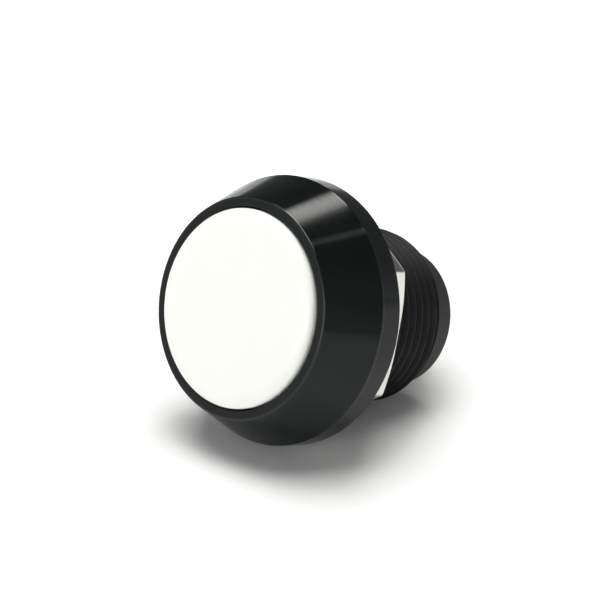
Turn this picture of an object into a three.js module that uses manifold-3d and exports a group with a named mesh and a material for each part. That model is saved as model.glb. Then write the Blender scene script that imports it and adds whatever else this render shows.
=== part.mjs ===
// Panel-mount momentary push button, M12 x 0.75 barrel, 17.5 mm conical bezel.
// Units are millimetres. The barrel's axis is Y: the cap faces -Y, the terminals leave at +Y
// and +Z is up. The origin is the centre of the cap's crown, the point that is pressed.
// Every y below is counted from the flange's rear face, which seats on the panel; the finished
// assembly is moved to put the crown at the origin.
import * as THREE from "three";
import { mergeVertices } from "three/addons/utils/BufferGeometryUtils.js";
import Module from "manifold-3d";

const wasm = await Module();
wasm.setup();

// ---- driving dimensions: _R is a radius, _Y a place along the axis ----
const SEGMENTS = 36; // facets round the large turned pieces
const SMALL_SEGMENTS = 24; // facets round the small pieces
const RIVET_SEGMENTS = 16;
const OVERCUT = 1; // how far a cutting tool reaches past the piece it cuts

const FLANGE_R = 8.75; // widest radius of the bezel
const FLANGE_LAND = 1.73; // straight part of the bezel behind the cone
const RING_R = 7.07; // outer radius of the flat front ring
const RING_Y = -5.36; // plane of the front ring
const CAP_BORE_R = 6.45;
const WEB_FRONT_Y = -1.3; // floor of the cap bore, and the return spring's seat
const WEB_REAR_Y = 0.55;
const GUIDE_R = 2.15; // bore for the stem through the web
const GLAND_R = 2.95; // pocket for the stem seal
const GLAND_Y = -0.3;
const GROOVE_IN_R = 6.92; // groove for the panel seal in the rear face
const GROOVE_OUT_R = 8.12;
const GROOVE_DEPTH = 0.7;

const THREAD_R = 5.94; // M12 x 0.75, crest
const THREAD_ROOT_R = 5.5;
const PITCH = 0.75;
const RELIEF_R = 5.42; // plain neck between flange and thread
const RELIEF_END_Y = 0.6;
const BARREL_END_Y = 8.6;
const CHAMBER_R = 4.7; // hollow of the barrel

const WASHER_R = 7.5;
const WASHER_Y0 = 0.05;
const WASHER_Y1 = 0.37;
const WASHER_TEETH = 12;

const NUT_ACROSS_FLATS = 14;
const NUT_Y0 = WASHER_Y1 + 0.03;
const NUT_Y1 = 2.37;
const NUT_CORNER_DEG = 33.8; // a corner's angle from +X towards +Z
const NUT_FACE_R = 7.2; // chamfer circle on both faces
const THREAD_PLAY = 0.08; // radial play between nut and barrel threads

const CAP_R = CAP_BORE_R - 0.1;
const CAP_EDGE_Y = -5.67; // the cap's edge rounding is set out about this plane
const CAP_CROWN_Y = -6.09; // top of the dome
const CAP_UNDER_Y = -4.35; // underside of the disc
const CAP_SKIRT_IN_R = 5.6;
const CAP_SKIRT_Y = -3.15; // rim of the skirt
const HUB_R = 2.4;
const SOCKET_R = 1.27;
const SOCKET_Y = CAP_UNDER_Y + 0.1; // blind end of the socket

const TRAVEL = 1.8; // full press
const STEM_R = 2.0;
const STEM_FRONT_Y = CAP_SKIRT_Y + 0.05;
const PIN_R = 1.2; // pin in the cap's socket
const PIN_Y = SOCKET_Y + 0.05;
const COLLAR_R = 3.2;
const COLLAR_Y0 = 1.78;
const COLLAR_Y1 = 2.6;
const LUG_R = 4.2; // lugs that keep the plunger from turning
const LUG_W = 1.1;
const TAIL_R = 0.9; // tail that carries the contact bridge
const TAIL_END_Y = 4.9;

const BUSH_R = CHAMBER_R - 0.05;
const BUSH_BORE_R = STEM_R + 0.08;
const BUSH_Y0 = WEB_REAR_Y + 0.05;
const BUSH_Y1 = 1.7;
const SLEEVE_IN_R = 3.9;
const SLEEVE_Y0 = BUSH_Y1 + 0.05;
const SLEEVE_Y1 = 6.2;

const BRIDGE_Y0 = 3.9;
const BRIDGE_Y1 = 4.2;
const BRIDGE_HALF = 3.3; // half its length along Z
const BRIDGE_W = 2.2;
const CONTACT_Z = 2.6; // contacts sit this far above and below the axis
const BRIDGE_TIP_Y = 4.45;
const FIXED_FACE_Y = BRIDGE_TIP_Y + (TRAVEL * 2) / 3 + 0.03; // closes after 2/3 of the travel

const TERM_W = 2.0;
const TERM_T = 0.4;
const TERM_Z = 1.75; // inner face of a blade
const TERM_FOOT_Y = 5.9;
const TERM_FOOT_Z = 3.5;
const TERM_END_Y = 14.6;
const COIN_Y = 11.6; // from here to the end the blade is coined thinner on both faces
const COIN = 0.03;
const SOLDER_HOLE_R = 0.5;
const SOLDER_HOLE_Y = 13.2;

const BASE_R = 4.8; // rear part, seated behind the barrel's end
const SPIGOT_R = 4.6; // part inside the barrel
const BASE_Y0 = 6.35;
const BASE_SHOULDER_Y = BARREL_END_Y + 0.05;
const BASE_END_Y = 11.0;
const WELL_R = 4.05; // potting well in the rear face
const WELL_Y = 9.8;
const EPOXY_Y = 10.7;
const SLOT_PLAY = 0.05; // gap between a terminal and its slot, all round

// ---- solids ----
// A closed solid from a geometry: shared vertices merged, folded triangles dropped and faces
// turned outwards.
function solid(geometry) {
  const bare = geometry.clone();
  for (const name of ["normal", "uv"]) bare.deleteAttribute(name);
  const merged = mergeVertices(bare, 1e-4);
  const positions = merged.getAttribute("position").array;
  const source = merged.index.array;
  const corner = (index) => new THREE.Vector3().fromArray(positions, 3 * index);
  const triangles = [];
  let volume = 0; // six times the signed volume
  for (let i = 0; i < source.length; i += 3) {
    const [first, second, third] = source.subarray(i, i + 3);
    if (first === second || second === third || third === first) continue;
    triangles.push(first, second, third);
    volume += corner(first).dot(corner(second).cross(corner(third)));
  }
  if (volume < 0) {
    for (let i = 0; i < triangles.length; i += 3) {
      [triangles[i + 1], triangles[i + 2]] = [triangles[i + 2], triangles[i + 1]];
    }
  }
  return new wasm.Manifold(
    new wasm.Mesh({
      numProp: 3,
      vertProperties: new Float32Array(positions),
      triVerts: new Uint32Array(triangles),
    }),
  );
}

// The body's surface as a three.js geometry.
function surface(body) {
  const mesh = body.getMesh();
  const positions = new Float32Array(mesh.numVert * 3);
  for (let i = 0; i < mesh.numVert; i++) {
    const start = i * mesh.numProp;
    positions.set(mesh.vertProperties.subarray(start, start + 3), i * 3);
  }
  const geometry = new THREE.BufferGeometry();
  geometry.setAttribute("position", new THREE.BufferAttribute(positions, 3));
  geometry.setIndex(new THREE.BufferAttribute(new Uint32Array(mesh.triVerts), 1));
  geometry.computeVertexNormals();
  return geometry;
}

// A turned solid about Y. Profile points are [radius, y]. A profile that doesn't touch the axis
// at both ends is closed on itself.
function turned(profile, segments = SEGMENTS) {
  const points = profile.map(([radius, y]) => new THREE.Vector2(radius, y));
  const endsOnAxis = profile[0][0] === 0 && profile[profile.length - 1][0] === 0;
  if (!endsOnAxis) points.push(points[0].clone());
  return solid(new THREE.LatheGeometry(points, segments));
}

const ring = (inner, outer, y0, y1, segments) =>
  turned([[inner, y0], [outer, y0], [outer, y1], [inner, y1]], segments);
const disc = (radius, y0, y1, segments) =>
  turned([[0, y0], [radius, y0], [radius, y1], [0, y1]], segments);

const extruded = (shape, depth) =>
  new THREE.ExtrudeGeometry(shape, { depth, bevelEnabled: false });

const shapeOf = (outline) =>
  new THREE.Shape(outline.map(([across, up]) => new THREE.Vector2(across, up)));

// An extrusion along +Y from y0 to y1 of a closed outline of [x, z] points.
function prism(outline, y0, y1) {
  const geometry = extruded(shapeOf(outline.map(([x, z]) => [x, -z])), y1 - y0);
  geometry.rotateX(-Math.PI / 2);
  geometry.translate(0, y0, 0);
  return solid(geometry);
}

// The [x, z] outline of a rectangle centred on x = 0.
const rectangle = (halfX, z0, z1) => [[-halfX, z0], [halfX, z0], [halfX, z1], [-halfX, z1]];

// An extrusion along X, centred on x = 0, of a closed outline of [y, z] points.
function slab(outline, width) {
  const geometry = extruded(shapeOf(outline), width);
  geometry.translate(0, 0, -width / 2);
  const points = geometry.getAttribute("position");
  for (let i = 0; i < points.count; i++) {
    points.setXYZ(i, points.getZ(i), points.getX(i), points.getY(i));
  }
  return solid(geometry);
}

// A right-hand threaded rod about Y, longer than y0..y1, to be trimmed by an envelope.
// grow widens the crests and narrows the roots, for the matching hole.
function threadRod(crest, root, y0, y1, grow = 0) {
  const shift = grow / PITCH;
  // One pitch of the profile: [share of the pitch, radius].
  const steps = [
    [-shift, crest],
    [0.125 + shift, crest],
    [0.4375 + shift, root],
    [0.6875 - shift, root],
  ];
  const firstTurn = Math.floor(y0 / PITCH) - 2;
  const turns = Math.ceil(y1 / PITCH) + 2 - firstTurn;
  const rows = turns * 4;
  const vertices = [];
  const starts = [];
  for (let j = 0; j < SEGMENTS; j++) {
    starts.push(vertices.length / 3);
    const angle = (2 * Math.PI * j) / SEGMENTS;
    // the first column is a pitch longer, as the last one meets it a pitch further on
    const last = j === 0 ? rows + 4 : rows;
    for (let k = 0; k <= last; k++) {
      const [share, radius] = steps[k % 4];
      const y = PITCH * (firstTurn + Math.floor(k / 4) + share + j / SEGMENTS);
      vertices.push(radius * Math.sin(angle), y, radius * Math.cos(angle));
    }
  }
  const vertex = (j, k) => (j === SEGMENTS ? starts[0] + k + 4 : starts[j] + k);
  const low = vertices.length / 3;
  const high = low + 1;
  vertices.push(0, PITCH * (firstTurn - 2), 0);
  vertices.push(0, PITCH * (firstTurn + turns + 4), 0);

  const triangles = [];
  for (let j = 0; j < SEGMENTS; j++) {
    for (let k = 0; k < rows; k++) {
      const opposite = vertex(j + 1, k + 1);
      triangles.push(vertex(j, k), vertex(j + 1, k), opposite);
      triangles.push(vertex(j, k), opposite, vertex(j, k + 1));
    }
    triangles.push(low, vertex(j + 1, 0), vertex(j, 0));
    triangles.push(high, vertex(j, rows), vertex(j + 1, rows));
  }
  // the one-pitch step at each end
  for (let k = 0; k < 4; k++) {
    triangles.push(low, vertex(0, k), vertex(0, k + 1));
    triangles.push(high, vertex(0, rows + k + 1), vertex(0, rows + k));
  }
  const geometry = new THREE.BufferGeometry();
  geometry.setAttribute("position", new THREE.BufferAttribute(new Float32Array(vertices), 3));
  geometry.setIndex(triangles);
  return solid(geometry);
}

// The centre line of a coil spring about Y, with half a turn lying flat at each end.
class Coil extends THREE.Curve {
  constructor(radius, startY, endY, turns) {
    super();
    Object.assign(this, { radius, startY, endY, turns });
  }
  getPoint(t, target = new THREE.Vector3()) {
    const angle = 2 * Math.PI * this.turns * t;
    const flat = 0.5 / this.turns; // share of the wire that lies flat at each end
    const share = Math.min(1, Math.max(0, (t - flat) / (1 - 2 * flat)));
    // the rise is a quarter gentler where it meets the flat ends
    const rise = share - (0.25 * Math.sin(2 * Math.PI * share)) / (2 * Math.PI);
    return target.set(
      this.radius * Math.sin(angle),
      this.startY + (this.endY - this.startY) * rise,
      this.radius * Math.cos(angle),
    );
  }
}

// A coil spring of six-sided wire that fills y0..y1.
function spring({ radius, wireRadius, y0, y1, turns, steps }) {
  const section = [];
  for (let i = 0; i < 6; i++) {
    const angle = (Math.PI * (2 * i + 1)) / 6;
    section.push([wireRadius * Math.cos(angle), wireRadius * Math.sin(angle)]);
  }
  const shape = shapeOf(section);
  shape.closePath();
  const extrudePath = new Coil(radius, y0 + wireRadius, y1 - wireRadius, turns);
  return solid(new THREE.ExtrudeGeometry(shape, { steps, extrudePath, bevelEnabled: false }));
}

// ---- housing: bezel, flange and threaded barrel in one piece ----
function makeHousing() {
  const head = turned([
    [CAP_BORE_R, WEB_FRONT_Y],
    [CAP_BORE_R, RING_Y + 0.08],
    [CAP_BORE_R + 0.08, RING_Y],
    [RING_R - 0.06, RING_Y],
    [RING_R, RING_Y + 0.06],
    [FLANGE_R - 0.03, -FLANGE_LAND - 0.06],
    [FLANGE_R, -FLANGE_LAND + 0.02],
    [FLANGE_R, -0.1],
    [FLANGE_R - 0.1, 0],
    [GROOVE_OUT_R, 0],
    [GROOVE_OUT_R, -GROOVE_DEPTH],
    [GROOVE_IN_R, -GROOVE_DEPTH],
    [GROOVE_IN_R, 0],
    [RELIEF_R, 0],
    [RELIEF_R, RELIEF_END_Y],
    [CHAMBER_R, RELIEF_END_Y],
    [CHAMBER_R, WEB_REAR_Y],
    [GLAND_R, WEB_REAR_Y],
    [GLAND_R, GLAND_Y],
    [GUIDE_R, GLAND_Y],
    [GUIDE_R, WEB_FRONT_Y],
  ]);
  // trims the threaded rod to a tube with tapered ends that overlaps the head a little
  const barrelEnvelope = turned([
    [CHAMBER_R, RELIEF_END_Y - 0.1],
    [RELIEF_R, RELIEF_END_Y - 0.1],
    [RELIEF_R, RELIEF_END_Y],
    [THREAD_R + 0.2, RELIEF_END_Y + 0.72],
    [THREAD_R + 0.2, BARREL_END_Y - 0.65],
    [THREAD_R - 0.45, BARREL_END_Y],
    [CHAMBER_R, BARREL_END_Y],
  ]);
  const rod = threadRod(THREAD_R, THREAD_ROOT_R, 0, BARREL_END_Y);
  return head.add(rod.intersect(barrelEnvelope));
}

// ---- panel seal: moulded ring just below the flange's rear face ----
const panelSeal = turned([
  [GROOVE_IN_R + 0.08, -0.2],
  [GROOVE_IN_R + 0.25, -0.02],
  [GROOVE_OUT_R - 0.25, -0.02],
  [GROOVE_OUT_R - 0.08, -0.2],
  [GROOVE_OUT_R - 0.08, -GROOVE_DEPTH + 0.2],
  [GROOVE_OUT_R - 0.25, -GROOVE_DEPTH + 0.04],
  [GROOVE_IN_R + 0.25, -GROOVE_DEPTH + 0.04],
  [GROOVE_IN_R + 0.08, -GROOVE_DEPTH + 0.2],
]);

// ---- lock washer: notches in the bore leave internal teeth ----
function makeLockWasher() {
  const notchIn = { radius: 5.7, halfAngle: 0.09 };
  const notchOut = { radius: 6.75, halfAngle: 0.06 };
  let washer = ring(THREAD_R + 0.12, WASHER_R, WASHER_Y0, WASHER_Y1);
  for (let i = 0; i < WASHER_TEETH; i++) {
    const middle = (2 * Math.PI * i) / WASHER_TEETH;
    const point = ({ radius, halfAngle }, side) => {
      const angle = middle + side * halfAngle;
      return [radius * Math.cos(angle), radius * Math.sin(angle)];
    };
    const outline = [point(notchIn, -1), point(notchOut, -1), point(notchOut, 1), point(notchIn, 1)];
    washer = washer.subtract(prism(outline, WASHER_Y0 - 0.2, WASHER_Y1 + 0.2));
  }
  return washer;
}

// ---- hexagon nut, chamfered outside and countersunk at both ends of the thread ----
function makeNut() {
  const cornerRadius = NUT_ACROSS_FLATS / 2 / Math.cos(Math.PI / 6);
  const hexagon = [];
  for (let i = 0; i < 6; i++) {
    const angle = THREE.MathUtils.degToRad(NUT_CORNER_DEG + 60 * i);
    hexagon.push([cornerRadius * Math.cos(angle), cornerRadius * Math.sin(angle)]);
  }
  const envelopeRadius = cornerRadius + 0.4;
  const chamferRise = (envelopeRadius - NUT_FACE_R) * Math.tan(Math.PI / 6);
  const chamferEnvelope = turned([
    [0, NUT_Y0],
    [NUT_FACE_R, NUT_Y0],
    [envelopeRadius, NUT_Y0 + chamferRise],
    [envelopeRadius, NUT_Y1 - chamferRise],
    [NUT_FACE_R, NUT_Y1],
    [0, NUT_Y1],
  ]);

  const holeCrest = THREAD_R + THREAD_PLAY;
  const mouthRadius = holeCrest + 0.1;
  const reach = 0.3; // how far a countersink's cone runs outside the nut
  // inward is the sign of the way from the face into the nut along Y
  const countersink = (faceY, inward) => {
    const outerY = faceY - inward * reach;
    const innerY = faceY + inward * (mouthRadius - THREAD_ROOT_R);
    return turned([
      [0, outerY],
      [mouthRadius + reach, outerY],
      [THREAD_ROOT_R, innerY],
      [0, innerY],
    ]);
  };
  return prism(hexagon, NUT_Y0, NUT_Y1)
    .intersect(chamferEnvelope)
    .subtract(threadRod(holeCrest, THREAD_ROOT_R + THREAD_PLAY, NUT_Y0, NUT_Y1, 0.035))
    .subtract(countersink(NUT_Y0, 1))
    .subtract(countersink(NUT_Y1, -1));
}

// ---- push cap: domed disc with a skirt and a socket for the plunger ----
function makeCap() {
  const domeRadius = CAP_R - 0.45;
  const domeDrop = 0.22;
  const domeSteps = 4;
  const dome = [[0, CAP_CROWN_Y]];
  for (let i = 1; i <= domeSteps; i++) {
    const share = i / domeSteps;
    // the innermost step is flat
    dome.push([domeRadius * share, CAP_CROWN_Y + (i > 1 ? domeDrop * share ** 2 : 0)]);
  }
  return turned([
    ...dome,
    [CAP_R - 0.2, CAP_CROWN_Y + 0.29],
    [CAP_R - 0.06, CAP_EDGE_Y - 0.02],
    [CAP_R, CAP_EDGE_Y + 0.18],
    [CAP_R, CAP_SKIRT_Y - 0.05],
    [CAP_R - 0.05, CAP_SKIRT_Y],
    [CAP_SKIRT_IN_R, CAP_SKIRT_Y],
    [CAP_SKIRT_IN_R, CAP_UNDER_Y],
    [HUB_R, CAP_UNDER_Y],
    [HUB_R, CAP_SKIRT_Y],
    [SOCKET_R, CAP_SKIRT_Y],
    [SOCKET_R, SOCKET_Y],
    [0, SOCKET_Y],
  ]);
}

// ---- plunger: pin, stem, collar with two lugs, and a tail with a clip groove ----
const CLIP_GROOVE_R = 0.6;
const CLIP_GROOVE_Y0 = BRIDGE_Y1 + 0.03;
const CLIP_GROOVE_Y1 = BRIDGE_Y1 + 0.33;

function makePlunger() {
  const body = turned(
    [
      [0, PIN_Y],
      [PIN_R - 0.1, PIN_Y],
      [PIN_R, PIN_Y + 0.1],
      [PIN_R, STEM_FRONT_Y],
      [STEM_R, STEM_FRONT_Y],
      [STEM_R, COLLAR_Y0],
      [COLLAR_R, COLLAR_Y0],
      [COLLAR_R, COLLAR_Y1],
      [TAIL_R, COLLAR_Y1],
      [TAIL_R, CLIP_GROOVE_Y0],
      [CLIP_GROOVE_R, CLIP_GROOVE_Y0],
      [CLIP_GROOVE_R, CLIP_GROOVE_Y1],
      [TAIL_R, CLIP_GROOVE_Y1],
      [TAIL_R, TAIL_END_Y - 0.15],
      [TAIL_R - 0.15, TAIL_END_Y],
      [0, TAIL_END_Y],
    ],
    SMALL_SEGMENTS,
  );
  const lugs = prism(rectangle(LUG_R, -LUG_W / 2, LUG_W / 2), COLLAR_Y0, COLLAR_Y1);
  return body.add(lugs.intersect(disc(LUG_R, COLLAR_Y0 - OVERCUT, COLLAR_Y1 + OVERCUT)));
}

// ---- open clip in the plunger's tail groove, its gap towards +X ----
const clipGap = [[0.2, -0.45], [2, -0.7], [2, 0.7], [0.2, 0.45]]; // [x, z]
const clip = ring(
  CLIP_GROOVE_R + 0.08,
  1.45,
  CLIP_GROOVE_Y0 + 0.03,
  CLIP_GROOVE_Y1 - 0.03,
  SMALL_SEGMENTS,
).subtract(prism(clipGap, BRIDGE_Y1 - 0.5, BRIDGE_Y1 + OVERCUT));

// ---- springs: one under the cap, one behind the plunger's collar ----
const returnSpring = spring({
  radius: 4.0,
  wireRadius: 0.14,
  y0: CAP_UNDER_Y + 0.03,
  y1: WEB_FRONT_Y - 0.03,
  turns: 3.5,
  steps: 72,
});
const contactSpring = spring({
  radius: 1.32,
  wireRadius: 0.1,
  y0: COLLAR_Y1 + 0.02,
  y1: BRIDGE_Y0 - 0.02,
  turns: 3,
  steps: 54,
});

// ---- stem seal: an O-ring in the web's gland ----
function makeStemSeal() {
  const ringRadius = 2.47;
  const cordRadius = 0.39;
  const middleY = 0.12;
  const geometry = new THREE.TorusGeometry(ringRadius, cordRadius, 8, SMALL_SEGMENTS);
  geometry.rotateX(Math.PI / 2);
  geometry.translate(0, middleY, 0);
  return solid(geometry);
}

// ---- guide bush behind the web ----
const guideBush = turned([
  [BUSH_BORE_R, BUSH_Y0],
  [BUSH_R - 0.1, BUSH_Y0],
  [BUSH_R, BUSH_Y0 + 0.1],
  [BUSH_R, BUSH_Y1 - 0.1],
  [BUSH_R - 0.1, BUSH_Y1],
  [BUSH_BORE_R + 0.1, BUSH_Y1],
  [BUSH_BORE_R, BUSH_Y1 - 0.1],
]);

// ---- insulating sleeve, slotted inside for the plunger's lugs ----
const LUG_GROOVE_END_Y = 5.2;
const LUG_GROOVE_HALF_W = LUG_W / 2 + 0.1;
const lugGroove = prism(
  rectangle(5, -LUG_GROOVE_HALF_W, LUG_GROOVE_HALF_W),
  SLEEVE_Y0 - 0.3,
  LUG_GROOVE_END_Y,
).intersect(disc(LUG_R + 0.1, SLEEVE_Y0 - OVERCUT, 6));
const sleeve = ring(SLEEVE_IN_R, BUSH_R, SLEEVE_Y0, SLEEVE_Y1).subtract(lugGroove);

// ---- contact bridge: bar with cut corners and a hole for the tail ----
function makeBridge() {
  const x = BRIDGE_W / 2;
  const z = BRIDGE_HALF;
  const cut = 0.4;
  const outline = [
    [-x, -z + cut], [-x + cut, -z], [x - cut, -z], [x, -z + cut],
    [x, z - cut], [x - cut, z], [-x + cut, z], [-x, z - cut],
  ];
  return prism(outline, BRIDGE_Y0, BRIDGE_Y1).subtract(
    disc(TAIL_R + 0.07, BRIDGE_Y0 - OVERCUT, BRIDGE_Y1 + OVERCUT, SMALL_SEGMENTS),
  );
}

// ---- contacts, made on the axis; side is 1 above it and -1 below ----
const bridgeRivet = turned(
  [
    [0, BRIDGE_Y1 + 0.02],
    [0.65, BRIDGE_Y1 + 0.02],
    [0.65, BRIDGE_TIP_Y - 0.1],
    [0.45, BRIDGE_TIP_Y - 0.02],
    [0, BRIDGE_TIP_Y],
  ],
  RIVET_SEGMENTS,
);
const fixedRivet = turned(
  [
    [0, FIXED_FACE_Y],
    [0.5, FIXED_FACE_Y],
    [0.75, FIXED_FACE_Y + 0.08],
    [0.75, TERM_FOOT_Y - 0.02],
    [0, TERM_FOOT_Y - 0.02],
  ],
  RIVET_SEGMENTS,
);
const placed = (rivet, side) => rivet.translate([0, 0, side * CONTACT_Z]);

// ---- terminals: a foot inside, a blade through the base ----
const TOOL_DEPTH = 4; // the cutting tools run from z = 0 to here

// Narrows one edge of the blade's end; side is the sign of x.
function endTrim(side) {
  const half = TERM_W / 2;
  const wedge = [
    [side * (half + 0.5), TERM_END_Y + 0.5],
    [side * (half + 0.5), TERM_END_Y - 0.8],
    [side * half, TERM_END_Y - 0.6],
    [side * (half - 0.35), TERM_END_Y + 0.5],
  ];
  return solid(extruded(shapeOf(wedge), TOOL_DEPTH));
}

function solderHole() {
  const geometry = new THREE.CylinderGeometry(
    SOLDER_HOLE_R, SOLDER_HOLE_R, TOOL_DEPTH, SMALL_SEGMENTS,
  );
  geometry.rotateX(Math.PI / 2);
  geometry.translate(0, SOLDER_HOLE_Y, TOOL_DEPTH / 2);
  return solid(geometry);
}

function makeTerminal() {
  const inner = TERM_Z;
  const outer = TERM_Z + TERM_T;
  const footRear = TERM_FOOT_Y + TERM_T;
  const outline = [
    [TERM_FOOT_Y, inner],
    [COIN_Y - 0.05, inner],
    [COIN_Y, inner + COIN],
    [TERM_END_Y, inner + COIN],
    [TERM_END_Y, outer - COIN],
    [COIN_Y, outer - COIN],
    [COIN_Y - 0.05, outer],
    [footRear, outer],
    [footRear, TERM_FOOT_Z],
    [TERM_FOOT_Y, TERM_FOOT_Z],
  ];
  return slab(outline, TERM_W)
    .subtract(solderHole())
    .subtract(endTrim(1))
    .subtract(endTrim(-1));
}
const upperTerminal = makeTerminal();
const lowerTerminal = upperTerminal.mirror([0, 0, 1]);

// ---- terminal base, and the sealing resin in its rear well ----
// Cuts the two terminal slots through a body from y0 to y1.
function cutSlots(body, y0, y1) {
  const slot = (side) => {
    const z0 = side * (TERM_Z - SLOT_PLAY);
    const z1 = side * (TERM_Z + TERM_T + SLOT_PLAY);
    return prism(rectangle(TERM_W / 2 + SLOT_PLAY, z0, z1), y0, y1);
  };
  return body.subtract(slot(1)).subtract(slot(-1));
}

const RECESS_R = 1.25; // blind recess in the base's front face
const RECESS_Y = 7.4;
const baseBody = turned([
  [0, RECESS_Y],
  [RECESS_R, RECESS_Y],
  [RECESS_R, BASE_Y0],
  [SPIGOT_R - 0.1, BASE_Y0],
  [SPIGOT_R, BASE_Y0 + 0.1],
  [SPIGOT_R, BASE_SHOULDER_Y],
  [BASE_R, BASE_SHOULDER_Y],
  [BASE_R, BASE_END_Y - 0.15],
  [BASE_R - 0.15, BASE_END_Y],
  [WELL_R, BASE_END_Y],
  [WELL_R, WELL_Y],
  [0, WELL_Y],
]);
const base = cutSlots(baseBody, BASE_Y0 - OVERCUT, WELL_Y + OVERCUT);

const epoxyBody = turned([
  [0, WELL_Y + 0.04],
  [WELL_R - 0.05, WELL_Y + 0.04],
  [WELL_R - 0.05, EPOXY_Y],
  [WELL_R - 0.6, EPOXY_Y - 0.1],
  [0, EPOXY_Y - 0.14],
]);
const epoxy = cutSlots(epoxyBody, WELL_Y - OVERCUT, EPOXY_Y + OVERCUT);

// ---- finishes ----
const ANODISED = { color: 0x1b1c1c, roughness: 0.36, metalness: 0.75 };
const CAP_WHITE = { color: 0xf3f4ef, roughness: 0.14, metalness: 0 };
const NICKEL = { color: 0xcfcdc8, roughness: 0.24, metalness: 1 };
const STEEL = { color: 0x9a9b9c, roughness: 0.3, metalness: 1 };
const RUBBER = { color: 0x141414, roughness: 0.85, metalness: 0 };
const BLACK_PLASTIC = { color: 0x222223, roughness: 0.55, metalness: 0 };
const BRONZE = { color: 0xb08a52, roughness: 0.35, metalness: 1 };
const SILVER = { color: 0xd9d8d3, roughness: 0.28, metalness: 1 };
const TINNED = { color: 0xc4c2bb, roughness: 0.32, metalness: 1 };
const RESIN = { color: 0x17181a, roughness: 0.22, metalness: 0 };

function piece(name, body, finish) {
  const mesh = new THREE.Mesh(surface(body), new THREE.MeshStandardMaterial(finish));
  mesh.name = name;
  return mesh;
}

// ---- assembly ----
const group = (...members) => new THREE.Group().add(...members);

const mounting = group(
  piece("lock_washer", makeLockWasher(), STEEL),
  piece("hex_nut", makeNut(), NICKEL),
);

const bridgeGroup = group(
  piece("contact_bridge", makeBridge(), BRONZE),
  piece("bridge_contact_upper", placed(bridgeRivet, 1), SILVER),
  piece("bridge_contact_lower", placed(bridgeRivet, -1), SILVER),
);

// the parts that move with the cap
const button = group(
  piece("button_cap", makeCap(), CAP_WHITE),
  piece("plunger", makePlunger(), BLACK_PLASTIC),
  piece("bridge_clip", clip, STEEL),
  piece("contact_spring", contactSpring, STEEL),
  bridgeGroup,
);

const assembly = group(
  piece("housing", makeHousing(), ANODISED),
  piece("panel_o_ring", panelSeal, RUBBER),
  piece("stem_o_ring", makeStemSeal(), RUBBER),
  piece("return_spring", returnSpring, STEEL),
  piece("guide_bush", guideBush, BLACK_PLASTIC),
  piece("insulating_sleeve", sleeve, BLACK_PLASTIC),
  piece("terminal_base", base, BLACK_PLASTIC),
  piece("terminal_upper", upperTerminal, TINNED),
  piece("terminal_lower", lowerTerminal, TINNED),
  piece("fixed_contact_upper", placed(fixedRivet, 1), SILVER),
  piece("fixed_contact_lower", placed(fixedRivet, -1), SILVER),
  piece("epoxy_seal", epoxy, RESIN),
  mounting,
  button,
);
assembly.position.y = -CAP_CROWN_Y;

const pushButton = group(assembly);

export default pushButton;
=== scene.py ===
"""A round panel push button: white cap, black anodised bezel with a threaded barrel, nut, washer
and a black rear base with two blades. Its axis is Y: the cap's crown is at the origin and faces
-Y, and the blades come out towards +Y. It lies tilted on a pale floor.

Lengths are millimetres, with y counted from the flange's rear face, unless a comment says metres.
to_frame() moves them to the scene's frame, in metres from the crown.
"""

import math
from functools import cached_property

import bmesh
import bpy
import numpy as np
from mathutils import Matrix, Vector


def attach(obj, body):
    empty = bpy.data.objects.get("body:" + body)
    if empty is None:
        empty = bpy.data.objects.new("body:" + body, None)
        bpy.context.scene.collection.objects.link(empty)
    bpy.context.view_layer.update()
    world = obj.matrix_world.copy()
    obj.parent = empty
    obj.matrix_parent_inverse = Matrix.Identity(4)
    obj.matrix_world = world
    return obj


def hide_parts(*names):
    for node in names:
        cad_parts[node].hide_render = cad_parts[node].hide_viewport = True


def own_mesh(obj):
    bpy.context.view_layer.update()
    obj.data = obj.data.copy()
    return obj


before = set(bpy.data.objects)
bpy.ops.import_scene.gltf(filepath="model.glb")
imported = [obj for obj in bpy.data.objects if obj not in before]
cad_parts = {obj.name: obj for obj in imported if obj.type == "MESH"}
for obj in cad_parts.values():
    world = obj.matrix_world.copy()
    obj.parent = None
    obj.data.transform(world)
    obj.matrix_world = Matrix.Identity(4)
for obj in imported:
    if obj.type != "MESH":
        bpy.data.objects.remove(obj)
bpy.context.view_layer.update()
scene = bpy.context.scene

MM = 0.001
SEAT_Y = 6.09  # from the crown back to the flange's rear face

# sizes shared by several pieces
BEZEL_R = 8.75
THREAD_R, THREAD_ROOT, PITCH = 5.94, 5.5, 0.75
WELL_FLOOR_Y = -1.3  # the floor of the bezel's well, under the cap
PLUNGER_FLANGE_Y = (1.78, 2.6)
CAP_R = 6.35
CONTACT_Z = 2.6  # the contacts' distance from the axis
BLADE_HALF_WIDTH, BLADE_HALF_THICK, BLADE_Z = 1.0, 0.2, 1.95


def to_frame(p):
    p = np.asarray(p, float).copy()
    p[..., 1] += SEAT_Y
    return p * MM


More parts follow.
